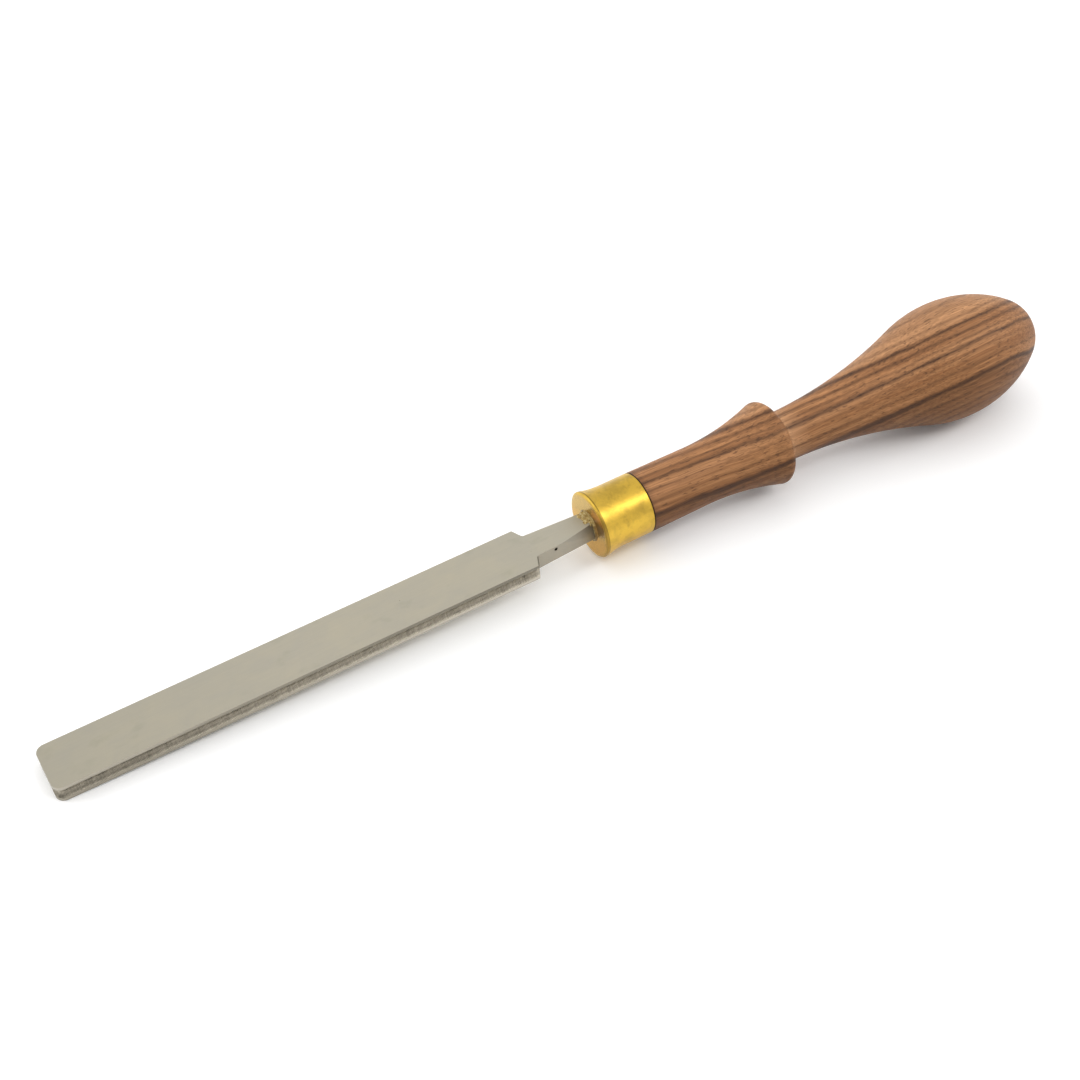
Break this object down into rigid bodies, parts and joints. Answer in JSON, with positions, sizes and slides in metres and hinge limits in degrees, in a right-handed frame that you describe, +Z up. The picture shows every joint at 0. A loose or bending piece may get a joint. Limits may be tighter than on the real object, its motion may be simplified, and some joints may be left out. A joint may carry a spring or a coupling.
{
  "type": "hand file",
  "caption": "Flat hand file with a hollow toothed groove along each long edge, a tapered tang glued into a brass ferrule and a turned hardwood handle with a pear-shaped bulb.",
  "frame": {"origin": "on the surface the tool lies on, under the middle of its length and width", "axes": "+X from the tip to the butt, level; +Y across the blade; +Z up. The tool's own axis rises about 3.1 degrees from tip to butt, because it rests on the tip's lower edge and on the bulb"},
  "size_m": [0.2746, 0.0314, 0.0316],
  "materials": {
    "blade_steel": "satin ground faces with a fine cross-cut file texture in the hollow edges",
    "ferrule_brass": "turned and lightly polished, a little tarnished",
    "handle_wood": "satin oiled hardwood with straight dark streaks and open pores",
    "cured_glue": "cured amber epoxy, uneven"
  },
  "bodies": {
    "root": {"file_blade": "blade_steel", "ferrule": "ferrule_brass", "handle": "handle_wood", "tang_epoxy": "cured_glue"}
  },
  "joints": []
}
